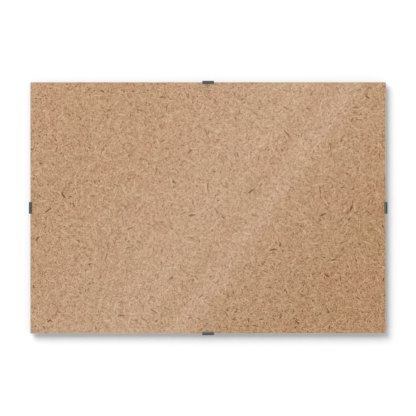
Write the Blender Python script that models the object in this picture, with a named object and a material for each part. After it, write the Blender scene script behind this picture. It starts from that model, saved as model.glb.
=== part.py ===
"""A frameless clip frame for an A4 picture: a sheet of glass and a hardboard back, held by four spring clips.

Metres, +Z up, +X to the right as seen from the front; the glass faces -Y and the wall stands at +Y.
The origin is where the frame hangs: the arched edge of the top clip's window, on the wall plane.
"""

import math

import bmesh
import bpy
from mathutils import Vector

# Panel: glass and board share the outline of the sheet that they hold
PANEL_WIDTH = 0.297
PANEL_HEIGHT = 0.210
GLASS_THICKNESS = 0.002
GLASS_CORNER_RADIUS = 0.001
GLASS_ARRIS = 0.0003
BOARD_THICKNESS = 0.003
BOARD_CORNER_RADIUS = 0.0006
BOARD_EDGE_ROUND = 0.0002
PICTURE_GAP = 0.0003

# Clip strip, its lip over the glass and its wall along the edge
STRIP_WIDTH = 0.0098
STRIP_THICKNESS = 0.0005
LIP_RADIUS = 0.0011
EDGE_CLEARANCE = 0.0006
SEAT_CLEARANCE = 0.0003

# Clip arm behind the board: it rises, runs level, falls to its foot and ends in a lifted tail
HEEL_RADIUS = 0.001
RISE_ANGLE = math.radians(30)
KNEE_RADIUS = 0.002
ARM_CLEAR_HEIGHT = 0.0027
FALL_ANGLE = math.radians(14)
FOOT_RADIUS = 0.002
TAIL_ANGLE = math.radians(22)
TAIL_LENGTH = 0.0055
TAIL_CORNER_RADIUS = 0.002

# Window in the level run, which is the hanging eye, and the tongue lanced from it
WINDOW_INSET = 0.003
WINDOW_LENGTH = 0.008
WINDOW_WIDTH = 0.0055
TONGUE_KERF = 0.0005
TONGUE_BEND_RADIUS = 0.0008
TONGUE_ANGLE = math.radians(75)
TONGUE_DEPTH = 0.0015
TONGUE_TIP_RADIUS = 0.001
ROOT_LAND = 0.002

# Notches milled in the rear of the board for the tongues
NOTCH_CLEARANCE = 0.0005

# Facets, and the angles that tell a bend or rounded corner from an edge
BEND_STEP = math.radians(15)
CORNER_SEGMENTS = 4
EDGE_SEGMENTS = 1
SMOOTH_BELOW = math.radians(35)
EDGE_ABOVE = math.radians(60)


class BentStrip:
    """Centre line of a bent strip seen from its side: u runs inward from the panel's edge, w back from the board."""

    def __init__(self, u, w, heading):
        self.points = [Vector((u, w))]
        self.heading = heading

    @property
    def end(self):
        return self.points[-1]

    def run(self, length):
        step = Vector((math.cos(self.heading), math.sin(self.heading))) * length
        self.points.append(self.end + step)

    def bend(self, radius, turn):
        side = math.copysign(1, turn)
        across = self.heading + side * math.pi / 2
        centre = self.end + Vector((math.cos(across), math.sin(across))) * radius
        arm = self.end - centre
        steps = math.ceil(abs(turn) / BEND_STEP)
        for step in range(1, steps + 1):
            angle = turn * step / steps
            turned = Vector(
                (
                    arm.x * math.cos(angle) - arm.y * math.sin(angle),
                    arm.x * math.sin(angle) + arm.y * math.cos(angle),
                )
            )
            self.points.append(centre + turned)
        self.heading += turn


def fall_of(radius, angle):
    """How far a bend of this angle sinks or rises off the line that it leaves or joins."""
    return radius * (1 - math.cos(angle))


# Heights along w, with the rear of the board at zero
HALF_STRIP = STRIP_THICKNESS / 2
GLASS_FRONT_W = -(BOARD_THICKNESS + PICTURE_GAP + GLASS_THICKNESS)
LIP_TIP_W = GLASS_FRONT_W - SEAT_CLEARANCE
WALL_U = -(EDGE_CLEARANCE + HALF_STRIP)
LIP_TIP_U = WALL_U + 2 * LIP_RADIUS
ARM_W = ARM_CLEAR_HEIGHT + HALF_STRIP
FOOT_W = SEAT_CLEARANCE + HALF_STRIP
WALL_PLANE_W = ARM_CLEAR_HEIGHT + STRIP_THICKNESS

# The clip turns about the inner edge of its lip, which bears on the glass
HINGE = Vector((LIP_TIP_U + HALF_STRIP, LIP_TIP_W))


def front_of_clip():
    """Lip rolled over the glass, wall down the edge, heel and rise, up to the start of the level run."""
    strip = BentStrip(LIP_TIP_U, LIP_TIP_W, -math.pi / 2)
    strip.bend(LIP_RADIUS, -math.pi)
    strip.run(SEAT_CLEARANCE - LIP_TIP_W)
    strip.bend(HEEL_RADIUS, RISE_ANGLE - math.pi / 2)
    climb = ARM_W - strip.end.y - fall_of(KNEE_RADIUS, RISE_ANGLE)
    strip.run(climb / math.sin(RISE_ANGLE))
    strip.bend(KNEE_RADIUS, -RISE_ANGLE)
    return strip


LEVEL_START_U = front_of_clip().end.x
WINDOW_TOP_U = LEVEL_START_U + WINDOW_INSET
TONGUE_ROOT_U = WINDOW_TOP_U + WINDOW_LENGTH
LEVEL_END_U = TONGUE_ROOT_U + ROOT_LAND


def back_of_clip():
    """Fall from the level run to the foot on the board, and the tail that a finger lifts."""
    strip = BentStrip(LEVEL_END_U, ARM_W, 0)
    strip.bend(KNEE_RADIUS, -FALL_ANGLE)
    drop = strip.end.y - FOOT_W - fall_of(FOOT_RADIUS, FALL_ANGLE)
    strip.run(drop / math.sin(FALL_ANGLE))
    strip.bend(FOOT_RADIUS, FALL_ANGLE + TAIL_ANGLE)
    strip.run(TAIL_LENGTH - TAIL_CORNER_RADIUS)
    return strip


def tongue_of_clip():
    """Tongue bent out of the window towards the board, its tip down in the notch."""
    strip = BentStrip(TONGUE_ROOT_U, ARM_W, math.pi)
    strip.bend(TONGUE_BEND_RADIUS, TONGUE_ANGLE)
    strip.run((strip.end.y + TONGUE_DEPTH) / math.sin(TONGUE_ANGLE) - TONGUE_TIP_RADIUS)
    return strip


def rounded_end(strip, half_width, radius):
    """Stations and half widths of the last stretch of a strip whose two corners are rounded off."""
    along = Vector((math.cos(strip.heading), math.sin(strip.heading)))
    start = strip.end
    rows = []
    for step in range(1, CORNER_SEGMENTS + 1):
        angle = math.pi / 2 * step / CORNER_SEGMENTS
        inset = radius * (1 - math.cos(angle))
        rows.append((start + along * radius * math.sin(angle), half_width - inset))
    return rows


def add_row(sheet, station, half_width):
    """Left, middle and right vertex of the strip at one station, measured from the hinge line."""
    u, w = station - HINGE
    return [sheet.verts.new((x, w, u)) for x in (-half_width, 0, half_width)]


def join_rows(sheet, first, second):
    for left in range(2):
        sheet.faces.new((first[left], first[left + 1], second[left + 1], second[left]))


def add_rows(sheet, rows, last=None):
    """A stretch of strip laid row by row, on from the row that is already there."""
    for station, half_width in rows:
        row = add_row(sheet, station, half_width)
        if last:
            join_rows(sheet, last, row)
        last = row
    return last


def thickened(name, sheet, thickness):
    """The sheet as a solid of this thickness, half of it on either side, smooth over its bends only."""
    helper = bpy.data.objects.new(name, sheet)
    bpy.context.scene.collection.objects.link(helper)
    strip = helper.modifiers.new("strip", "SOLIDIFY")
    strip.thickness = thickness
    strip.offset = 0
    strip.use_even_offset = True
    solid = helper.evaluated_get(bpy.context.evaluated_depsgraph_get())
    mesh = bpy.data.meshes.new_from_object(solid)
    mesh.name = name
    bpy.data.objects.remove(helper)
    bpy.data.meshes.remove(sheet)
    mesh.shade_smooth()
    mesh.set_sharp_from_angle(angle=SMOOTH_BELOW)
    return mesh


def clip_mesh(material):
    """One clip: the pierced blank is laid along its bends as a single sheet, then thickened to the strip."""
    sheet = bmesh.new()
    half_width = STRIP_WIDTH / 2
    window_radius = WINDOW_WIDTH / 2
    tongue_half = window_radius - TONGUE_KERF

    level_start = add_rows(sheet, [(point, half_width) for point in front_of_clip().points])
    back = back_of_clip()
    level_end = add_row(sheet, back.points[0], half_width)
    tail = add_rows(sheet, [(point, half_width) for point in back.points[1:]], level_end)
    add_rows(sheet, rounded_end(back, half_width, TAIL_CORNER_RADIUS), tail)

    tongue = tongue_of_clip()
    root = add_row(sheet, tongue.points[0], tongue_half)
    tip = add_rows(sheet, [(point, tongue_half) for point in tongue.points[1:]], root)
    add_rows(sheet, rounded_end(tongue, tongue_half, TONGUE_TIP_RADIUS), tip)

    # The level run is two halves that meet ahead of the window's arched end and behind the tongue's root
    arch_top = sheet.verts.new((0, ARM_W - HINGE.y, WINDOW_TOP_U - HINGE.x))
    for side, outer in ((-1, 0), (1, 2)):
        arch = []
        for step in range(1, 2 * CORNER_SEGMENTS + 1):
            angle = math.pi / 2 * step / (2 * CORNER_SEGMENTS)
            u = WINDOW_TOP_U + window_radius * (1 - math.cos(angle)) - HINGE.x
            x = side * window_radius * math.sin(angle)
            arch.append(sheet.verts.new((x, ARM_W - HINGE.y, u)))
        slit_end = sheet.verts.new((side * window_radius, ARM_W - HINGE.y, TONGUE_ROOT_U - HINGE.x))
        inner_edge = [arch_top, *arch, slit_end, root[outer], root[1]]
        outline = [level_start[1], *inner_edge, level_end[1], level_end[outer], level_start[outer]]
        sheet.faces.new(outline)
    bmesh.ops.recalc_face_normals(sheet, faces=sheet.faces)
    blank = bpy.data.meshes.new("clip_sheet")
    sheet.to_mesh(blank)
    sheet.free()
    blank.materials.append(material)
    return thickened("clip", blank, STRIP_THICKNESS)


def panel_mesh(name, thickness, corner_radius, material):
    """A rectangular sheet with rounded corners, its front at the given thickness ahead of its own rear face."""
    block = bmesh.new()
    bmesh.ops.create_cube(block, size=1)
    bmesh.ops.scale(block, vec=(PANEL_WIDTH, thickness, PANEL_HEIGHT), verts=block.verts)
    bmesh.ops.translate(block, vec=(0, -thickness / 2, 0), verts=block.verts)
    corners = [e for e in block.edges if abs(e.verts[0].co.y - e.verts[1].co.y) > thickness / 2]
    bmesh.ops.bevel(
        block,
        geom=corners,
        affect="EDGES",
        offset=corner_radius,
        segments=CORNER_SEGMENTS,
        profile=0.5,
    )
    mesh = bpy.data.meshes.new(name)
    block.to_mesh(mesh)
    block.free()
    mesh.shade_smooth()
    mesh.set_sharp_from_angle(angle=SMOOTH_BELOW)
    mesh.materials.append(material)
    return mesh


def notch_mesh():
    """A milled slot with round ends that takes the tongue at rest and lets it out as the clip turns."""
    tongue_half = WINDOW_WIDTH / 2 - TONGUE_KERF
    lean = math.tan(math.pi / 2 - TONGUE_ANGLE)
    reach = HALF_STRIP / math.sin(TONGUE_ANGLE)
    tongue = tongue_of_clip()
    surface_u = tongue.end.x - lean * tongue.end.y
    tip = Vector((surface_u - lean * TONGUE_DEPTH - reach, -TONGUE_DEPTH)) - HINGE
    leaves_u = HINGE.x + math.sqrt(tip.length_squared - HINGE.y**2)
    inner_u = surface_u + reach + NOTCH_CLEARANCE
    outer_u = leaves_u - NOTCH_CLEARANCE
    radius = (inner_u - outer_u) / 2
    middle_u = (inner_u + outer_u) / 2
    half_straight = tongue_half + NOTCH_CLEARANCE
    depth = TONGUE_DEPTH + SEAT_CLEARANCE

    cut = bmesh.new()
    ring = []
    for side in (1, -1):
        for step in range(2 * CORNER_SEGMENTS + 1):
            angle = math.pi * step / (2 * CORNER_SEGMENTS) - math.pi / 2
            x = side * (half_straight + radius * math.cos(angle))
            z = middle_u + side * radius * math.sin(angle)
            ring.append(cut.verts.new((x, depth, z)))
    floor = cut.faces.new(ring)
    walls = bmesh.ops.extrude_face_region(cut, geom=[floor])
    moved = [v for v in walls["geom"] if isinstance(v, bmesh.types.BMVert)]
    bmesh.ops.translate(cut, vec=(0, -2 * depth, 0), verts=moved)
    bmesh.ops.recalc_face_normals(cut, faces=cut.faces)
    mesh = bpy.data.meshes.new("notch_cutter")
    cut.to_mesh(mesh)
    cut.free()
    return mesh


def plain_material(name, colour, roughness, metallic=0.0, transmission=0.0):
    material = bpy.data.materials.new(name)
    material.use_nodes = True
    shader = material.node_tree.nodes["Principled BSDF"]
    shader.inputs["Base Color"].default_value = (*colour, 1)
    shader.inputs["Roughness"].default_value = roughness
    shader.inputs["Metallic"].default_value = metallic
    shader.inputs["Transmission Weight"].default_value = transmission
    return material


def add_object(name, mesh, parent, location=(0, 0, 0), turn=0.0):
    """A named piece on the panel; turn is about Y, the way the panel faces."""
    piece = bpy.data.objects.new(name, mesh)
    bpy.context.scene.collection.objects.link(piece)
    piece.parent = parent
    piece.location = location
    piece.rotation_euler = (0, turn, 0)
    return piece


def add_bevel(piece, width):
    """The arrises of a sheet taken off all round its two faces."""
    bevel = piece.modifiers.new("edges", "BEVEL")
    bevel.width = width
    bevel.segments = EDGE_SEGMENTS
    bevel.limit_method = "ANGLE"
    bevel.angle_limit = EDGE_ABOVE


def main():
    for old in list(bpy.data.objects):
        bpy.data.objects.remove(old)

    # The middle of the board's rear face, from which glass, board and clips are placed
    panel = bpy.data.objects.new("panel_centre", None)
    bpy.context.scene.collection.objects.link(panel)
    panel.location = (0, -WALL_PLANE_W, WINDOW_TOP_U - PANEL_HEIGHT / 2)

    glass = plain_material("float_glass", (0.90, 0.96, 0.93), 0.03, transmission=1.0)
    glass_pane = add_object(
        "glass_pane",
        panel_mesh("glass_pane", GLASS_THICKNESS, GLASS_CORNER_RADIUS, glass),
        panel,
        (0, -(BOARD_THICKNESS + PICTURE_GAP), 0),
    )
    add_bevel(glass_pane, GLASS_ARRIS)

    hardboard = plain_material("hardboard", (0.52, 0.33, 0.20), 0.7)
    backing_board = add_object(
        "backing_board",
        panel_mesh("backing_board", BOARD_THICKNESS, BOARD_CORNER_RADIUS, hardboard),
        panel,
    )
    add_bevel(backing_board, BOARD_EDGE_ROUND)

    # Each side's half length towards the edge, and the turn that points a clip's arm inward from it
    sides = {
        "bottom": (Vector((0, 0, -PANEL_HEIGHT / 2)), 0.0),
        "left": (Vector((-PANEL_WIDTH / 2, 0, 0)), math.pi / 2),
        "top": (Vector((0, 0, PANEL_HEIGHT / 2)), math.pi),
        "right": (Vector((PANEL_WIDTH / 2, 0, 0)), -math.pi / 2),
    }
    steel = plain_material("spring_steel", (0.13, 0.125, 0.12), 0.35, metallic=1.0)
    clip = clip_mesh(steel)
    notch = notch_mesh()
    for side, (edge, turn) in sides.items():
        inward = -edge.normalized()
        hinge_place = edge + inward * HINGE.x + Vector((0, HINGE.y, 0))
        add_object(f"clip_{side}", clip, panel, hinge_place, turn)
        cutter = add_object(f"notch_cutter_{side}", notch, panel, edge, turn)
        cutter.hide_render = True
        cutter.display_type = "WIRE"
        cut = backing_board.modifiers.new(f"notch_{side}", "BOOLEAN")
        cut.operation = "DIFFERENCE"
        cut.object = cutter


main()
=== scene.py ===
import math

import bmesh
import bpy
from mathutils import Matrix, Vector


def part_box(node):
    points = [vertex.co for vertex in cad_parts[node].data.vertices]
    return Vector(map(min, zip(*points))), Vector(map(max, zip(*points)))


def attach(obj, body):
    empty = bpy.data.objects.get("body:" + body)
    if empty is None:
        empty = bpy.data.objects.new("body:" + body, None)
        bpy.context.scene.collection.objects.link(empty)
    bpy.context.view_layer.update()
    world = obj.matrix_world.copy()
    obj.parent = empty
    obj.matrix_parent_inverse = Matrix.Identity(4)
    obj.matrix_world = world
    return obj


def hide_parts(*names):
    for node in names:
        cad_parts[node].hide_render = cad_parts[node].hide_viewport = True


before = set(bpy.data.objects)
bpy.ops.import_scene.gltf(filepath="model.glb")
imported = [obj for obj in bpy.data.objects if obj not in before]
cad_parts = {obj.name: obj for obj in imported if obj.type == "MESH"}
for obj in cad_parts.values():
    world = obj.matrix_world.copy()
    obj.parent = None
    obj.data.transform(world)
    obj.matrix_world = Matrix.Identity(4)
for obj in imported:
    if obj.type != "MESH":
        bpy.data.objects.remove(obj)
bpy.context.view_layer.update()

scene = bpy.context.scene
scene.view_settings.view_transform = "Standard"


# Backing board: one sheet of hardboard, wood fibre felted wet and pressed hot between a polished plate and
# a wire screen, so that its front is smooth and its rear keeps the weave. It is sawn to the outline of the
# glass, and a shallow notch is milled in the rear of each side for the tongue of a clip.
panel_low, panel_high = (Vector(corner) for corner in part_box("backing_board"))
middle = (panel_low + panel_high) / 2
same_point = 1e-6
same_plane = math.radians(1)


def new_piece(name, shape):
    """A finished shape as a mesh, in an object of the same name that stands at the origin."""
    mesh = bpy.data.meshes.new(name)
    shape.to_mesh(mesh)
    shape.free()
    piece = bpy.data.objects.new(name, mesh)
    scene.collection.objects.link(piece)
    return piece


# The solid's loose triangles, merged into one closed sheet of flat faces
sheet = bmesh.new()
sheet.from_mesh(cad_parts["backing_board"].data)
bmesh.ops.remove_doubles(sheet, verts=sheet.verts, dist=same_point)
bmesh.ops.dissolve_limit(sheet, angle_limit=same_plane, verts=sheet.verts, edges=sheet.edges)
board = new_piece("hardboard_sheet", sheet)


def add_node(tree, kind, inputs=None, **settings):
    """A node with its settings, each of its inputs given as a value or as the socket that feeds it."""
    node = tree.nodes.new(kind)
    for name, value in settings.items():
        setattr(node, name, value)
    for name, value in (inputs or {}).items():
        if isinstance(value, bpy.types.NodeSocket):
            tree.links.new(value, node.inputs[name])
        else:
            node.inputs[name].default_value = value
    return node


def sum_of(tree, operation, *terms):
    """The result of a sum on values, given as numbers or sockets."""
    return add_node(tree, "ShaderNodeMath", dict(enumerate(terms)), operation=operation).outputs[0]


def vector_of(tree, operation, *terms, **named):
    """The result of a sum on vectors, given as tuples or sockets."""
    inputs = {**dict(enumerate(terms)), **named}
    return add_node(tree, "ShaderNodeVectorMath", inputs, operation=operation).outputs[0]


def axes_of(tree, vector):
    """The X, Y and Z of a vector."""
    return add_node(tree, "ShaderNodeSeparateXYZ", {"Vector": vector}).outputs


def channels_of(tree, colour):
    """The Red, Green and Blue of a colour."""
    return add_node(tree, "ShaderNodeSeparateColor", {"Color": colour}).outputs


def spread(tree, value, low, high, to_low=0.0, to_high=1.0):
    """The value eased from one range to another, held at the ends."""
    ends = {"Value": value, "From Min": low, "From Max": high, "To Min": to_low, "To Max": to_high}
    return add_node(tree, "ShaderNodeMapRange", ends, interpolation_type="SMOOTHSTEP").outputs[0]


def noise(tree, place, scale, detail, roughness=0.5, distortion=0.0, across="2D"):
    """Soft noise over a place, as a value and as a colour."""
    look = {"Scale": scale, "Detail": detail, "Roughness": roughness, "Distortion": distortion}
    return add_node(tree, "ShaderNodeTexNoise", {"Vector": place, **look}, noise_dimensions=across).outputs


def tinted(tree, amount, first, second, blend="MIX"):
    """Two colours blended by an amount, each given as a colour or as a socket."""
    mix = add_node(tree, "ShaderNodeMix", data_type="RGBA", blend_type=blend)
    by_name = {socket.identifier: socket for socket in mix.inputs}
    for name, value in (("Factor_Float", amount), ("A_Color", first), ("B_Color", second)):
        if isinstance(value, bpy.types.NodeSocket):
            tree.links.new(value, by_name[name])
        elif name == "Factor_Float":
            by_name[name].default_value = value
        else:
            by_name[name].default_value = (*value, 1)
    return next(socket for socket in mix.outputs if socket.identifier == "Result_Color")


def shaded(tree, colour, by):
    """A colour made darker or paler, by another colour or by a value."""
    return tinted(tree, 1.0, colour, by, "MULTIPLY")


def bumped(tree, height, strength, depth):
    """The surface's direction, tilted by a height of this depth."""
    inputs = {"Height": height, "Strength": strength, "Distance": depth}
    return add_node(tree, "ShaderNodeBump", inputs).outputs[0]


def new_material(name):
    """A material with an empty tree, and that tree."""
    material = bpy.data.materials.new(name)
    material.use_nodes = True
    material.node_tree.nodes.clear()
    return material, material.node_tree


# Strands: one fibre bundle in each cell of a scatter, at an angle of its own, pointed at both ends
shortest, longest = 0.26, 0.58
thinnest, thickest = 0.35, 0.60
taper = 3.0
soft_side = 0.4
strands = bpy.data.node_groups.new("felted strands", "ShaderNodeTree")
strands.interface.new_socket("Place", in_out="INPUT", socket_type="NodeSocketVector")
for name in ("Spacing", "Length", "Width", "Share"):
    strands.interface.new_socket(name, in_out="INPUT", socket_type="NodeSocketFloat")
for name in ("Strand", "Tone"):
    strands.interface.new_socket(name, in_out="OUTPUT", socket_type="NodeSocketFloat")
given = add_node(strands, "NodeGroupInput").outputs
cell = add_node(
    strands,
    "ShaderNodeTexVoronoi",
    {"Vector": given["Place"], "Scale": sum_of(strands, "DIVIDE", 1.0, given["Spacing"])},
    voronoi_dimensions="2D",
).outputs
chance = channels_of(strands, cell["Color"])
turned = add_node(
    strands,
    "ShaderNodeVectorRotate",
    {
        "Vector": vector_of(strands, "SUBTRACT", given["Place"], cell["Position"]),
        "Angle": sum_of(strands, "MULTIPLY", chance["Red"], 2 * math.pi),
    },
    rotation_type="Z_AXIS",
).outputs[0]
along = axes_of(strands, turned)
length_share = spread(strands, chance["Green"], 0, 1, shortest, longest)
width_share = spread(strands, chance["Blue"], 0, 1, thinnest, thickest)
half_length = sum_of(strands, "MULTIPLY", given["Length"], length_share)
half_width = sum_of(strands, "MULTIPLY", given["Width"], width_share)
to_end = sum_of(strands, "DIVIDE", sum_of(strands, "ABSOLUTE", along["X"]), half_length)
to_side = sum_of(strands, "DIVIDE", sum_of(strands, "ABSOLUTE", along["Y"]), half_width)
tapered = sum_of(strands, "ADD", to_side, sum_of(strands, "POWER", to_end, taper))
dice = add_node(
    strands, "ShaderNodeTexWhiteNoise", {"Vector": cell["Position"]}, noise_dimensions="2D"
).outputs
roll = channels_of(strands, dice["Color"])
is_there = sum_of(strands, "LESS_THAN", roll["Red"], given["Share"])
add_node(
    strands,
    "NodeGroupOutput",
    {
        "Strand": sum_of(strands, "MULTIPLY", spread(strands, tapered, 1.0, soft_side), is_there),
        "Tone": roll["Green"],
    },
)

# Places on the board in millimetres, flat on its face, and drawn out of line so that strands bend
hardboard, tree = new_material("pressed hardboard")
texture_place = add_node(tree, "ShaderNodeTexCoord").outputs
millimetres = vector_of(tree, "SCALE", texture_place["Object"], Scale=1000.0)
axes = axes_of(tree, millimetres)
flat = add_node(tree, "ShaderNodeCombineXYZ", {"X": axes["X"], "Y": axes["Z"]}).outputs[0]
drawn_out = (2.0, 2.0, 0.0)
drift = noise(tree, flat, scale=0.11, detail=1.0)["Color"]
swirl = vector_of(tree, "MULTIPLY_ADD", drift, drawn_out, flat)

# Felt: warm and olive patches, specks, the mottle of the smallest fibres, and painted shade, darker lower
# down
warm, olive = (0.634, 0.344, 0.185), (0.612, 0.351, 0.181)
rosy_speck, olive_speck = (1.015, 0.975, 1.015), (0.985, 1.025, 0.985)
hollow, crest = (0.92, 0.88, 0.83), (1.05, 1.09, 1.15)
lower_edge, upper_edge = -204.0, 6.0
painted_lower_shade = 0.955
patches = noise(tree, flat, scale=0.028, detail=3.0)["Fac"]
felt = tinted(tree, spread(tree, patches, 0.38, 0.62), warm, olive)
mottle = noise(tree, swirl, scale=0.42, detail=3.0, roughness=0.65)
specks = channels_of(tree, mottle["Color"])["Blue"]
felt = shaded(tree, felt, tinted(tree, spread(tree, specks, 0.3, 0.7), rosy_speck, olive_speck))
felt = shaded(tree, felt, tinted(tree, spread(tree, mottle["Fac"], 0.25, 0.75), hollow, crest))
# Painted shade: the felt grows darker towards the lower edge
felt = shaded(tree, felt, spread(tree, axes["Z"], lower_edge, upper_edge, painted_lower_shade, 1.0))

# Layers of strands: spacing, length and width in millimetres, share of places filled, strength and two tones
straw, bark = (0.812, 0.525, 0.340), (0.345, 0.131, 0.030)
bleached, char = (0.870, 0.600, 0.405), (0.165, 0.045, 0.000)
strand_layers = (
    (1.3, 2.1, 0.42, 1.00, 1.00, bark, straw),
    (1.8, 3.3, 0.42, 1.00, 1.00, bark, straw),
    (2.7, 5.0, 0.42, 1.00, 0.72, bark, straw),
    (4.0, 7.5, 0.46, 0.90, 0.66, bark, straw),
    (6.5, 10.5, 0.54, 0.70, 0.72, bark, straw),
    (8.0, 12.0, 0.60, 0.45, 0.90, straw, bleached),
    (3.4, 2.0, 0.96, 0.41, 0.95, char, bark),
    (6.5, 3.5, 1.12, 0.35, 0.95, char, bark),
    (17.0, 6.8, 1.60, 0.36, 0.95, char, bark),
)
first_shift = Vector((40.0, 90.0, 0.0))
next_shift = Vector((311.0, 173.0, 0.0))
standing_proud = 7.0
relief = 0.0
colour = felt
for layer, (spacing, length, width, share, strength, *tones) in enumerate(strand_layers):
    laid = add_node(
        tree,
        "ShaderNodeGroup",
        {
            "Place": vector_of(tree, "ADD", swirl, first_shift + layer * next_shift),
            "Spacing": spacing,
            "Length": length,
            "Width": width,
            "Share": share,
        },
        node_tree=strands,
    ).outputs
    tone = tinted(tree, spread(tree, laid["Tone"], 0.26, 0.74), *tones)
    colour = tinted(tree, sum_of(tree, "MULTIPLY", laid["Strand"], strength), colour, tone)
    if length > standing_proud:
        relief = sum_of(tree, "ADD", laid["Strand"], relief)

# Fuzz: the hair of single fibres over the strands
between_hairs, hair = (0.86, 0.83, 0.80), (1.13, 1.16, 1.19)
fuzz = noise(tree, swirl, scale=1.9, detail=4.0, roughness=0.7, distortion=2.5)["Fac"]
colour = shaded(tree, colour, tinted(tree, spread(tree, fuzz, 0.28, 0.72), between_hairs, hair))

# Rear: the square weave of the wire screen, pressed in while the felt was wet, over fibres that it blurs
wire_pitch = 1.4
painted_pit_shade, knuckle = (0.62, 0.58, 0.54), (0.92, 0.90, 0.88)
blur = 0.5
wave = 2 * math.pi / wire_pitch
wires = [sum_of(tree, "SINE", sum_of(tree, "MULTIPLY", axes[way], wave)) for way in "XZ"]
weave = spread(tree, sum_of(tree, "MULTIPLY", *wires), -0.8, 0.8)
facing = axes_of(tree, texture_place["Normal"])["Y"]
is_rear = spread(tree, facing, 0.5, 0.7)
# Painted shade: the weave's pits are darker than its knuckles, over the blurred fibres
screened_and_shaded = shaded(tree, tinted(tree, blur, colour, felt), tinted(tree, weave, painted_pit_shade, knuckle))
colour = tinted(tree, is_rear, colour, screened_and_shaded)

# Sawn edges: torn fibre in thin layers, browner than the faces
thin_layers = (0.35, 3.2, 0.35)
dark_fibre, torn_fibre = (0.17, 0.092, 0.05), (0.42, 0.25, 0.145)
is_face = spread(tree, sum_of(tree, "ABSOLUTE", facing), 0.5, 0.8)
is_edge = sum_of(tree, "SUBTRACT", 1.0, is_face)
layered = vector_of(tree, "MULTIPLY", millimetres, thin_layers)
torn = noise(tree, layered, scale=1.6, detail=4.0, roughness=0.7, across="3D")["Fac"]
sawn = tinted(tree, spread(tree, torn, 0.3, 0.7), dark_fibre, torn_fibre)
colour = tinted(tree, is_edge, colour, sawn)

# Relief of strands, weave and torn edges, on a board that throws no brown light on the white wall
strand_relief, weave_relief, torn_relief = 0.06, 0.9, 1.2
strand_height = sum_of(tree, "MULTIPLY", relief, strand_relief)
weave_height = sum_of(tree, "MULTIPLY", sum_of(tree, "MULTIPLY", weave, is_rear), weave_relief)
torn_height = sum_of(tree, "MULTIPLY", sum_of(tree, "MULTIPLY", torn, is_edge), torn_relief)
height = sum_of(tree, "ADD", strand_height, sum_of(tree, "ADD", weave_height, torn_height))
bounced = add_node(tree, "ShaderNodeLightPath").outputs["Is Diffuse Ray"]
face = add_node(
    tree,
    "ShaderNodeBsdfPrincipled",
    {
        "Base Color": tinted(tree, bounced, colour, (0.0, 0.0, 0.0)),
        "Roughness": spread(tree, relief, 0.0, 1.5, 0.62, 0.5),
        "Normal": bumped(tree, height, strength=0.6, depth=0.00015),
        "Specular IOR Level": 0.12,
    },
).outputs[0]
add_node(tree, "ShaderNodeOutputMaterial", {"Surface": face})
board.data.materials.append(hardboard)
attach(board, "panel")
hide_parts("backing_board")


# Glass pane: one sheet of clear float glass of the same outline, laid over the board. Its edges are ground
# and their corners taken off, so that they look pale and greenish, and its faces are polished and very
# nearly flat.
glass_low, glass_high = (Vector(corner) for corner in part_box("glass_pane"))
corner_radius = 0.001
arris = 0.0003
corner_steps = 8
arris_steps = 3


def outline(inset):
    """The pane's outline drawn in by an inset, as points from the lower right corner round."""
    points = []
    for quarter, (across, up) in enumerate(((1, -1), (1, 1), (-1, 1), (-1, -1))):
        centre_x = (glass_high.x if across > 0 else glass_low.x) - across * corner_radius
        centre_z = (glass_high.z if up > 0 else glass_low.z) - up * corner_radius
        for step in range(corner_steps + 1):
            angle = math.pi / 2 * (quarter - 1 + step / corner_steps)
            reach = corner_radius - inset
            points.append((centre_x + reach * math.cos(angle), centre_z + reach * math.sin(angle)))
    return points


# Rings from the front face round its arris, over the edge and round the rear arris, closed by two faces
ground_slot = 1
pane_shape = bmesh.new()
rings = []
for is_front in (True, False):
    for step in range(arris_steps + 1):
        angle = math.pi / 2 * (step if is_front else arris_steps - step) / arris_steps
        inset = arris * (1 - math.sin(angle))
        depth = arris * (1 - math.cos(angle))
        y = glass_low.y + depth if is_front else glass_high.y - depth
        rings.append([pane_shape.verts.new((x, y, z)) for x, z in outline(inset)])
for near, far in zip(rings, rings[1:]):
    for at in range(len(near)):
        after = (at + 1) % len(near)
        ground = pane_shape.faces.new((near[at], near[after], far[after], far[at]))
        ground.material_index = ground_slot
        ground.smooth = True
pane_shape.faces.new(rings[0])
pane_shape.faces.new(rings[-1])
bmesh.ops.recalc_face_normals(pane_shape, faces=pane_shape.faces)
pane = new_piece("glass_sheet", pane_shape)


def let_light_through(tree, glass):
    """Finishes a glass that is open to lamps and to the light that the board sends round."""
    path = add_node(tree, "ShaderNodeLightPath").outputs
    open_way = add_node(tree, "ShaderNodeBsdfTransparent", {"Color": (0.97, 0.985, 0.978, 1)}).outputs[0]
    for ray in ("Is Shadow Ray", "Is Diffuse Ray"):
        glass = add_node(tree, "ShaderNodeMixShader", {0: path[ray], 1: glass, 2: open_way}).outputs[0]
    add_node(tree, "ShaderNodeOutputMaterial", {"Surface": glass})


# The faces, with the faint waves of drawing, and the edge, with the grit of the wheel
polished, tree = new_material("polished float glass")
spot = add_node(tree, "ShaderNodeTexCoord").outputs["Object"]
waves = noise(tree, spot, scale=9.0, detail=1.0, across="3D")["Fac"]
clear = add_node(
    tree,
    "ShaderNodeBsdfPrincipled",
    {
        "Base Color": tinted(tree, waves, (0.982, 0.992, 0.986), (0.992, 0.997, 0.994)),
        "Roughness": 0.0,
        "IOR": 1.5,
        "Transmission Weight": 1.0,
        "Normal": bumped(tree, waves, strength=0.02, depth=0.0003),
    },
).outputs[0]
let_light_through(tree, clear)

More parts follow.
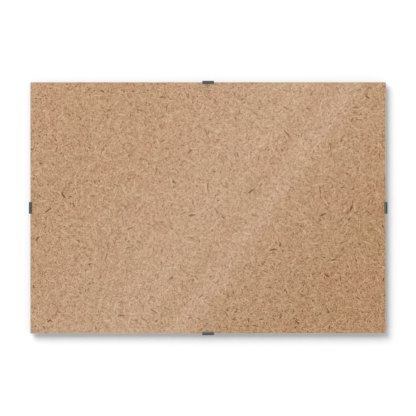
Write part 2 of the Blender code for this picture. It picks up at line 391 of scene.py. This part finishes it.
ground_edge, tree = new_material("ground glass edge")
spot = add_node(tree, "ShaderNodeTexCoord").outputs["Object"]
grit = noise(tree, spot, scale=2600.0, detail=2.0, roughness=0.6, across="3D")["Fac"]
frosted = add_node(
    tree,
    "ShaderNodeBsdfPrincipled",
    {
        "Base Color": tinted(tree, grit, (0.58, 0.80, 0.71), (0.74, 0.90, 0.83)),
        "Roughness": spread(tree, grit, 0.3, 0.7, 0.28, 0.5),
        "IOR": 1.5,
        "Transmission Weight": 0.5,
        "Normal": bumped(tree, grit, strength=0.3, depth=0.00003),
    },
).outputs[0]
let_light_through(tree, frosted)
pane.data.materials.append(polished)
pane.data.materials.append(ground_edge)
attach(pane, "panel")
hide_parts("glass_pane")


# Spring clips: four alike, each pressed from a strip of dark rolled spring steel. The blank is pierced with
# the hanging window and its tongue, and bent to a lip over the glass, a wall down the edge, a bowed arm
# behind the board, a foot and a tail for the finger. The tongue drops into the board's notch.
strip_width = 0.0098
strip_thickness = 0.0005
broken_edge = 0.00009
seat_clearance = 0.0003
edge_clearance = 0.0006
lip_radius = 0.0011
lip_corner = 0.0003
heel_radius = 0.001
rise_angle = math.radians(30)
knee_radius = 0.002
arm_clear_height = 0.0027
fall_angle = math.radians(14)
foot_radius = 0.002
tail_angle = math.radians(22)
tail_length = 0.0055
tail_radius = 0.002
window_inset = 0.003
window_length = 0.008
window_half = 0.00275
root_land = 0.002
tongue_half = 0.00225
tongue_radius = 0.0008
tongue_angle = math.radians(75)
tongue_depth = 0.0015
tip_radius = 0.001
bend_step = math.radians(5)


def fall_of(radius, angle):
    """How far a bend of this angle sinks or rises off the line that it leaves or joins."""
    return radius * (1 - math.cos(angle))


# Runs and bends of the strip: heights count back from the board's rear, lengths inward from its edge
half_strip = strip_thickness / 2
lip_height = glass_low.y - panel_high.y - seat_clearance
lip_start = Vector((2 * lip_radius - edge_clearance - half_strip, lip_height))
pivot = lip_start + Vector((half_strip, 0))
arm_height = arm_clear_height + half_strip
foot_height = seat_clearance + half_strip
climb = arm_height - seat_clearance - heel_radius * math.cos(rise_angle) - fall_of(knee_radius, rise_angle)
drop = arm_height - foot_height - fall_of(knee_radius, fall_angle) - fall_of(foot_radius, fall_angle)
plunge = arm_height + tongue_depth - fall_of(tongue_radius, tongue_angle)
front_bends = (
    ("bend", lip_radius, -math.pi),
    ("run", seat_clearance - lip_height),
    ("bend", heel_radius, rise_angle - math.pi / 2),
    ("run", climb / math.sin(rise_angle)),
    ("bend", knee_radius, -rise_angle),
)
rear_bends = (
    ("run", window_inset + window_length + root_land),
    ("bend", knee_radius, -fall_angle),
    ("run", drop / math.sin(fall_angle)),
    ("bend", foot_radius, fall_angle + tail_angle),
    ("run", tail_length),
)
tongue_bends = (
    ("bend", tongue_radius, tongue_angle),
    ("run", plunge / math.sin(tongue_angle)),
)


def bent_points(start, heading, steps):
    """Points along the middle of a bent strip, the lengths where it bends, and its whole length."""
    points, stations, length = [start], [], 0.0
    for kind, size, *turn in steps:
        if kind == "run":
            points.append(points[-1] + Vector((math.cos(heading), math.sin(heading))) * size)
            length += size
            continue
        turn = turn[0]
        count = max(2, round(abs(turn) / bend_step))
        side = math.copysign(1, turn)
        centre = points[-1] + Vector((-math.sin(heading), math.cos(heading))) * side * size
        arm = points[-1] - centre
        for step in range(1, count + 1):
            points.append(centre + Matrix.Rotation(turn * step / count, 2) @ arm)
        stations += [length + size * abs(turn) * step / count for step in range(count + 1)]
        length += size * abs(turn)
        heading += turn
    return points, stations, length


def bent_line(name, points):
    """A curve through these points, measured from the line that the clip turns about."""
    line = bpy.data.curves.new(name, "CURVE")
    line.dimensions = "3D"
    spline = line.splines.new("POLY")
    spline.points.add(len(points) - 1)
    for point, (u, w) in zip(spline.points, points):
        point.co = (0, w - pivot.y, u - pivot.x, 1)
    holder = bpy.data.objects.new(name, line)
    scene.collection.objects.link(holder)
    return holder


front_points, _, level_start = bent_points(lip_start, -math.pi / 2, front_bends)
strip_points, strip_stations, strip_length = bent_points(lip_start, -math.pi / 2, front_bends + rear_bends)
window_top = level_start + window_inset
tongue_root = window_top + window_length
tongue_start = front_points[-1] + Vector((window_inset + window_length, 0))
tongue_points, tongue_stations, tongue_length = bent_points(tongue_start, math.pi, tongue_bends)
strip_line = bent_line("strip_line", strip_points)
tongue_line = bent_line("tongue_line", tongue_points)


def arc(x, y, radius, first, last, steps):
    """Points of a rounded corner in the flat blank, with its angles in degrees."""
    angles = [math.radians(first + (last - first) * step / steps) for step in range(steps + 1)]
    return [(x + radius * math.cos(angle), y + radius * math.sin(angle)) for angle in angles]


# The flat blank, with the horseshoe that frees the tongue cut out of it
strip_half = strip_width / 2
rim = (
    arc(-strip_half + lip_corner, lip_corner, lip_corner, 180, 270, 3)
    + arc(strip_half - lip_corner, lip_corner, lip_corner, 270, 360, 3)
    + arc(strip_half - tail_radius, strip_length - tail_radius, tail_radius, 0, 90, 8)
    + arc(-strip_half + tail_radius, strip_length - tail_radius, tail_radius, 90, 180, 8)
)
kerf = (window_half - tongue_half) / 2
tip = tongue_root - tongue_length
horseshoe = (
    arc(0, window_top + window_half, window_half, 180, 360, 24)
    + arc(window_half - kerf, tongue_root - kerf, kerf, 0, 180, 6)
    + arc(tongue_half - tip_radius, tip + tip_radius, tip_radius, 360, 270, 6)
    + arc(-tongue_half + tip_radius, tip + tip_radius, tip_radius, 270, 180, 6)
    + arc(-window_half + kerf, tongue_root - kerf, kerf, 0, 180, 6)
)
blank = bmesh.new()
for loop in (rim, horseshoe):
    corners = [blank.verts.new((x, y, 0)) for x, y in loop]
    for corner, following in zip(corners, corners[1:] + corners[:1]):
        blank.edges.new((corner, following))
bmesh.ops.triangle_fill(blank, edges=blank.edges, use_beauty=True)
bmesh.ops.recalc_face_normals(blank, faces=blank.faces)
if blank.faces[0].normal.z < 0:
    bmesh.ops.reverse_faces(blank, faces=blank.faces)

# Lines across the blank at each step of a bend, so that it folds there
on_line = 1e-7
for station in sorted(set(strip_stations + [tongue_root - station for station in tongue_stations])):
    bmesh.ops.bisect_plane(
        blank,
        geom=blank.verts[:] + blank.edges[:] + blank.faces[:],
        plane_co=(0, station, 0),
        plane_no=(0, 1, 0),
        dist=on_line,
    )
blank_mesh = bpy.data.meshes.new("pierced_blank")
blank.to_mesh(blank_mesh)
blank.free()

# The steel: rolling marks along the strip and a blued skin, read on the flat blank in centimetres
spring_steel, tree = new_material("dark spring steel")
on_blank = add_node(tree, "ShaderNodeUVMap", uv_map="flat_blank").outputs[0]
rolling = (90.0, 4.0, 0.0)
blue_skin, brown_skin = (0.092, 0.095, 0.097), (0.116, 0.116, 0.113)
rolled_skin = (0.165, 0.163, 0.158)
drawn_long = vector_of(tree, "MULTIPLY", on_blank, rolling)
rolled = noise(tree, drawn_long, scale=1.0, detail=4.0, roughness=0.6)["Fac"]
clouds = noise(tree, on_blank, scale=3.5, detail=3.0)["Fac"]
skin = tinted(tree, spread(tree, clouds, 0.3, 0.7), blue_skin, brown_skin)
skin = tinted(tree, spread(tree, rolled, 0.3, 0.75, 0.0, 0.35), skin, rolled_skin)

# Painted shade where the lip turns into the wall, a painted highlight paler over the inner lip, and edges
# rubbed bright
strip_axes = axes_of(tree, on_blank)
lip_shoulder = 0.32
shade_ends, shade_full, shade_share = 0.16, 0.08, 0.25
highlight_ends, highlight_full = 0.22, 0.12
rub_starts, rub_full, rub_uneven = 0.495, 0.525, 0.06
painted_shoulder_shade, painted_lip_highlight = (0.05, 0.05, 0.048), (0.150, 0.151, 0.148)
bright_edge = (0.20, 0.197, 0.19)
from_shoulder = sum_of(tree, "ABSOLUTE", sum_of(tree, "SUBTRACT", strip_axes["Y"], lip_shoulder))
# Painted shade: darker over the lip's outer side, where it turns into the wall
shoulder_shade_mask = spread(tree, from_shoulder, shade_ends, shade_full, 0.0, shade_share)
skin = tinted(tree, shoulder_shade_mask, skin, painted_shoulder_shade)
# Painted highlight: paler over the inner lip, up to its crown
skin = tinted(tree, spread(tree, strip_axes["Y"], highlight_ends, highlight_full), skin, painted_lip_highlight)
uneven = sum_of(tree, "MULTIPLY", clouds, rub_uneven)
to_edge = sum_of(tree, "ADD", sum_of(tree, "ABSOLUTE", strip_axes["X"]), uneven)
skin = tinted(tree, spread(tree, to_edge, rub_starts, rub_full), skin, bright_edge)
steel = add_node(
    tree,
    "ShaderNodeBsdfPrincipled",
    {
        "Base Color": skin,
        "Metallic": 1.0,
        "Roughness": spread(tree, rolled, 0.25, 0.75, 0.60, 0.76),
        "Specular Tint": (0.08, 0.08, 0.08, 1),
        "Normal": bumped(tree, rolled, strength=0.25, depth=0.00002),
    },
).outputs[0]
add_node(tree, "ShaderNodeOutputMaterial", {"Surface": steel})

# The press: lays the blank along its bends, or along the tongue's, and turns the clip to its own side
press = bpy.data.node_groups.new("bend the blank", "GeometryNodeTree")
inlets = {}
for name, kind in (
    ("Blank", "Geometry"),
    ("Strip line", "Object"),
    ("Tongue line", "Object"),
    ("Tongue root", "Float"),
    ("Tongue length", "Float"),
    ("Tongue half width", "Float"),
    ("Turn", "Rotation"),
    ("Place", "Vector"),
    ("Steel", "Material"),
):
    inlet = press.interface.new_socket(name, in_out="INPUT", socket_type="NodeSocket" + kind)
    inlets[name] = inlet.identifier
press.interface.new_socket("Clip", in_out="OUTPUT", socket_type="NodeSocketGeometry")
given = add_node(press, "NodeGroupInput").outputs
flat_place = add_node(press, "GeometryNodeInputPosition").outputs[0]
flat_axes = axes_of(press, flat_place)

# What counts as tongue: ahead of its root, and within its length and width
spare = 1e-5
before_root = sum_of(press, "SUBTRACT", given["Tongue root"], flat_axes["Y"])
past_root = sum_of(press, "GREATER_THAN", before_root, on_line)
tip_limit = sum_of(press, "ADD", given["Tongue length"], spare)
in_length = sum_of(press, "LESS_THAN", before_root, tip_limit)
from_axis = sum_of(press, "ABSOLUTE", flat_axes["X"])
side_limit = sum_of(press, "ADD", given["Tongue half width"], spare)
in_width = sum_of(press, "LESS_THAN", from_axis, side_limit)
in_tongue = sum_of(press, "MULTIPLY", past_root, sum_of(press, "MULTIPLY", in_length, in_width))

# Each point goes to its length along the line, and its height stands square to the line there
bent = add_node(press, "GeometryNodeSwitch", {"Switch": in_tongue}, input_type="VECTOR")
for line, along_line, across, choice in (
    ("Strip line", flat_axes["Y"], (1.0, 0.0, 0.0), "False"),
    ("Tongue line", before_root, (-1.0, 0.0, 0.0), "True"),
):
    curve = add_node(press, "GeometryNodeObjectInfo", {"Object": given[line]}).outputs["Geometry"]
    sample = {"Curves": curve, "Length": along_line}
    at = add_node(press, "GeometryNodeSampleCurve", sample, mode="LENGTH").outputs
    square = vector_of(press, "CROSS_PRODUCT", across, at["Tangent"])
    lifted = vector_of(press, "SCALE", square, Scale=flat_axes["Z"])
    press.links.new(vector_of(press, "ADD", at["Position"], lifted), bent.inputs[choice])
sideways = add_node(press, "ShaderNodeCombineXYZ", {"X": flat_axes["X"]}).outputs[0]
marked = add_node(
    press,
    "GeometryNodeStoreNamedAttribute",
    {
        "Geometry": given["Blank"],
        "Name": "flat_blank",
        "Value": vector_of(press, "SCALE", flat_place, Scale=100.0),
    },
    data_type="FLOAT2",
    domain="CORNER",
).outputs[0]
formed = add_node(
    press,
    "GeometryNodeSetPosition",
    {"Geometry": marked, "Position": vector_of(press, "ADD", bent.outputs[0], sideways)},
).outputs[0]
hung = add_node(
    press,
    "GeometryNodeTransform",
    {"Geometry": formed, "Rotation": given["Turn"], "Translation": given["Place"]},
).outputs[0]
whole = add_node(press, "GeometryNodeRealizeInstances", {"Geometry": hung}).outputs[0]
clad = add_node(press, "GeometryNodeSetMaterial", {"Geometry": whole, "Material": given["Steel"]})
add_node(press, "NodeGroupOutput", {"Clip": clad.outputs[0]})

# Four clips, each at the middle of its side of the panel, with its arm turned inward
edge_above = math.radians(60)
edge_steps = 2
smooth_below = math.radians(25)
pivot_y = panel_high.y + pivot.y
clips = []
for side, turn, place in (
    ("bottom", 0, (middle.x, pivot_y, panel_low.z + pivot.x)),
    ("left", 90, (panel_low.x + pivot.x, pivot_y, middle.z)),
    ("top", 180, (middle.x, pivot_y, panel_high.z - pivot.x)),
    ("right", 270, (panel_high.x - pivot.x, pivot_y, middle.z)),
):
    maker = bpy.data.objects.new("clip_maker", blank_mesh)
    scene.collection.objects.link(maker)
    thick = maker.modifiers.new("strip", "SOLIDIFY")
    thick.thickness = strip_thickness
    thick.offset = 0
    broken = maker.modifiers.new("broken edges", "BEVEL")
    broken.width = broken_edge
    broken.segments = edge_steps
    broken.limit_method = "ANGLE"
    broken.angle_limit = edge_above
    bend = maker.modifiers.new("press", "NODES")
    bend.node_group = press
    for name, value in (
        ("Strip line", strip_line),
        ("Tongue line", tongue_line),
        ("Tongue root", tongue_root),
        ("Tongue length", tongue_length),
        ("Tongue half width", tongue_half),
        ("Turn", (0.0, math.radians(turn), 0.0)),
        ("Place", place),
        ("Steel", spring_steel),
    ):
        bend[inlets[name]] = value
    mesh = bpy.data.meshes.new_from_object(maker.evaluated_get(bpy.context.evaluated_depsgraph_get()))
    bpy.data.objects.remove(maker)
    mesh.name = "spring_clip_" + side
    mesh.shade_smooth()
    mesh.set_sharp_from_angle(angle=smooth_below)
    clip = bpy.data.objects.new(mesh.name, mesh)
    scene.collection.objects.link(clip)
    clips.append(clip)
    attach(clip, "clip_" + side)
    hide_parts("clip_" + side)
for helper in (strip_line, tongue_line):
    bpy.data.objects.remove(helper)
bpy.data.meshes.remove(blank_mesh)


# Studio: a white paper wall that the frame hangs on, swept forward into a pale floor. A large soft lamp
# stands up on the left and another behind, for the rear, and a shaded card hangs in front, which the glass
# mirrors as its slanting sheen.
wall_y = 0.0006
wall_top = 1.6
floor_z = -1.1
floor_front = -4.0
sweep_half = 3.0
sweep_radius = 0.5
sweep_steps = 12
profile = [(wall_y, wall_top)]
for step in range(sweep_steps + 1):
    angle = math.pi / 2 * step / sweep_steps
    forward = sweep_radius * (1 - math.cos(angle))
    above_floor = sweep_radius * (1 - math.sin(angle))
    profile.append((wall_y - forward, floor_z + above_floor))
profile.append((floor_front, floor_z))
sweep = bmesh.new()
rows = [[sweep.verts.new((x, y, z)) for x in (-sweep_half, sweep_half)] for y, z in profile]
for upper, lower in zip(rows, rows[1:]):
    sweep.faces.new((upper[0], lower[0], lower[1], upper[1])).smooth = True
backdrop = new_piece("studio_sweep", sweep)
backdrop.visible_diffuse = False
backdrop.visible_shadow = False


def measure_of(tree, operation, *terms):
    """A length, a distance or a dot product of vectors."""
    node = add_node(tree, "ShaderNodeVectorMath", dict(enumerate(terms)), operation=operation)
    return node.outputs["Value"]


def shows(tree):
    """One for what is seen, straight or in metal and glass, and nought for light that falls on things."""
    path = add_node(tree, "ShaderNodeLightPath").outputs
    in_gloss = sum_of(tree, "MAXIMUM", path["Is Glossy Ray"], path["Is Transmission Ray"])
    return sum_of(tree, "MAXIMUM", path["Is Camera Ray"], in_gloss)


# The paper takes the frame's shadow, has a glow that brings it up to white, and is all white further off
white = (1, 1, 1, 1)
paper_glow = 0.16
warm_paper, pale_paper = (0.944, 0.935, 0.926), (0.964, 0.955, 0.946)
shadow_reach, white_from = 0.3, 1.0
white_paper, tree = new_material("white studio paper")
spot = add_node(tree, "ShaderNodeTexCoord").outputs["Object"]
grain = noise(tree, spot, scale=60.0, detail=2.0, across="3D")["Fac"]
paper_colour = tinted(tree, grain, warm_paper, pale_paper)
paper = add_node(tree, "ShaderNodeBsdfDiffuse", {"Color": paper_colour}).outputs[0]
glow_level = sum_of(tree, "MULTIPLY", shows(tree), paper_glow)
glow = add_node(tree, "ShaderNodeEmission", {"Color": white, "Strength": glow_level}).outputs[0]
lit = add_node(tree, "ShaderNodeAddShader", {0: paper, 1: glow}).outputs[0]
far_white = add_node(tree, "ShaderNodeEmission", {"Color": white, "Strength": 1.0}).outputs[0]
far_off = spread(tree, measure_of(tree, "DISTANCE", spot, middle), shadow_reach, white_from)
lit = add_node(tree, "ShaderNodeMixShader", {0: far_off, 1: lit, 2: far_white}).outputs[0]
from_behind = add_node(tree, "ShaderNodeNewGeometry").outputs["Backfacing"]
see_through = add_node(tree, "ShaderNodeBsdfTransparent").outputs[0]
one_sided = add_node(tree, "ShaderNodeMixShader", {0: from_behind, 1: lit, 2: see_through}).outputs[0]
add_node(tree, "ShaderNodeOutputMaterial", {"Surface": one_sided})
backdrop.data.materials.append(white_paper)

# The card hangs between lens and glass and is seen only in the glass, smaller by the scale worked out here
picture_width = 0.3471
lens_length = 200
sensor_width = 36
camera_away = picture_width * lens_length / sensor_width
card_away = 1.0
card_scale = 1 + card_away / camera_away
card_half = 2.4
card_mesh = bpy.data.meshes.new("sheen_card")
card_corners = [(x * card_half, 0, z * card_half) for x, z in ((-1, -1), (-1, 1), (1, 1), (1, -1))]
card_mesh.from_pydata(card_corners, [], [(0, 1, 2, 3)])
card = bpy.data.objects.new("sheen_card", card_mesh)
card.location = (0, glass_low.y - card_away, middle.z)
scene.collection.objects.link(card)
card.visible_camera = False
card.visible_diffuse = False
card.visible_shadow = False

# Its shades run across the slant: metres on the glass from the sheen's edge, and the brightness there
slant = (0.8171, 0.0, -0.5768)
edge_at = 0.0456
sheen_low, sheen_high = -0.260, 0.190
brightest = 2.0
shades = (
    (-0.240, 0.44),
    (-0.172, 0.34),
    (-0.110, 0.58),
    (-0.050, 1.02),
    (-0.036, 0.98),
    (-0.021, 0.66),
    (-0.013, 1.02),
    (-0.007, 1.18),
    (-0.002, 1.03),
    (0.005, 0.54),
    (0.012, 0.46),
    (0.040, 0.25),
    (0.075, 0.02),
    (0.140, 0.02),
    (0.190, 0.44),
)

# The shades are laid out from the slant and repeat, so that the glass shows a sheen in other views too
sheen, tree = new_material("sheen card")
card_spot = add_node(tree, "ShaderNodeTexCoord").outputs["Object"]
on_glass = tuple(part / card_scale for part in slant)
across_slant = measure_of(tree, "DOT_PRODUCT", card_spot, on_glass)
repeated = sum_of(tree, "WRAP", across_slant, sheen_high + edge_at, sheen_low + edge_at)
span = {"Value": repeated, "From Min": sheen_low + edge_at, "From Max": sheen_high + edge_at}
along_span = add_node(tree, "ShaderNodeMapRange", span).outputs[0]
ramp = add_node(tree, "ShaderNodeValToRGB", {"Fac": along_span})
stops = ramp.color_ramp.elements
for distance, level in shades:
    stop = stops.new((distance - sheen_low) / (sheen_high - sheen_low))
    stop.color = (level / brightest, level / brightest, level / brightest, 1)
stops.remove(stops[0])
stops.remove(stops[-1])

# Towards its rim the card fades to the white of the room
fade_from, fade_to = 1.5, 2.3
room_white = (1 / brightest, 1 / brightest, 1 / brightest)
rim_fade = spread(tree, measure_of(tree, "LENGTH", card_spot), fade_from, fade_to)
card_colour = tinted(tree, rim_fade, ramp.outputs["Color"], room_white)
card_light = add_node(tree, "ShaderNodeEmission", {"Color": card_colour, "Strength": brightest})
add_node(tree, "ShaderNodeOutputMaterial", {"Surface": card_light.outputs[0]})
card_mesh.materials.append(sheen)

# The air: white to look at, and a soft cool fill all round
air = bpy.data.worlds.new("studio air")
scene.world = air
air.use_nodes = True
tree = air.node_tree
tree.nodes.clear()
cool, fill = (0.982, 1.0, 1.022, 1), 0.44
soft = add_node(tree, "ShaderNodeBackground", {"Color": cool, "Strength": fill}).outputs[0]
blank_white = add_node(tree, "ShaderNodeBackground", {"Color": white, "Strength": 1.0}).outputs[0]
either = add_node(tree, "ShaderNodeMixShader", {0: shows(tree), 1: soft, 2: blank_white}).outputs[0]
add_node(tree, "ShaderNodeOutputWorld", {"Surface": either})

# The lamps: round softboxes aimed at the middle of the panel, with their place from there, size and watts
softboxes = {}
for name, away, size, power in (
    ("key_softbox", Vector((-0.58, -1.0, 0.80)) * 4.2, 4.2, 267.0),
    ("rear_softbox", Vector((1.0, 2.2, 1.4)) * 1.4, 2.4, 110.0),
):
    lamp = bpy.data.lights.new(name, "AREA")
    lamp.shape = "DISK"
    lamp.size = size
    lamp.energy = power
    softbox = bpy.data.objects.new(name, lamp)
    softbox.location = middle + away
    softbox.rotation_mode = "QUATERNION"
    softbox.rotation_quaternion = (-away).to_track_quat("-Z", "Y")
    scene.collection.objects.link(softbox)
    softboxes[name] = softbox

# The key passes the clips by, because their lips leave no shadow on the board in the photograph
out_of_the_way = bpy.data.collections.new("out of the key's way")
for clip in clips:
    out_of_the_way.objects.link(clip)
softboxes["key_softbox"].light_linking.blocker_collection = out_of_the_way
for entry in out_of_the_way.collection_objects:
    entry.light_linking.link_state = "EXCLUDE"

# Camera: a long lens square to the panel, a hair left of its middle and below it, as in the photograph
framed = Vector((-0.000125, 0.0, -0.00008))
lens = bpy.data.cameras.new("long_lens")
lens.sensor_width = sensor_width
lens.lens = lens_length
lens.clip_end = 20
camera = bpy.data.objects.new("long_lens", lens)
camera.location = Vector((middle.x, glass_low.y - camera_away, middle.z)) + framed
camera.rotation_euler = (math.pi / 2, 0, 0)
scene.collection.objects.link(camera)
scene.camera = camera
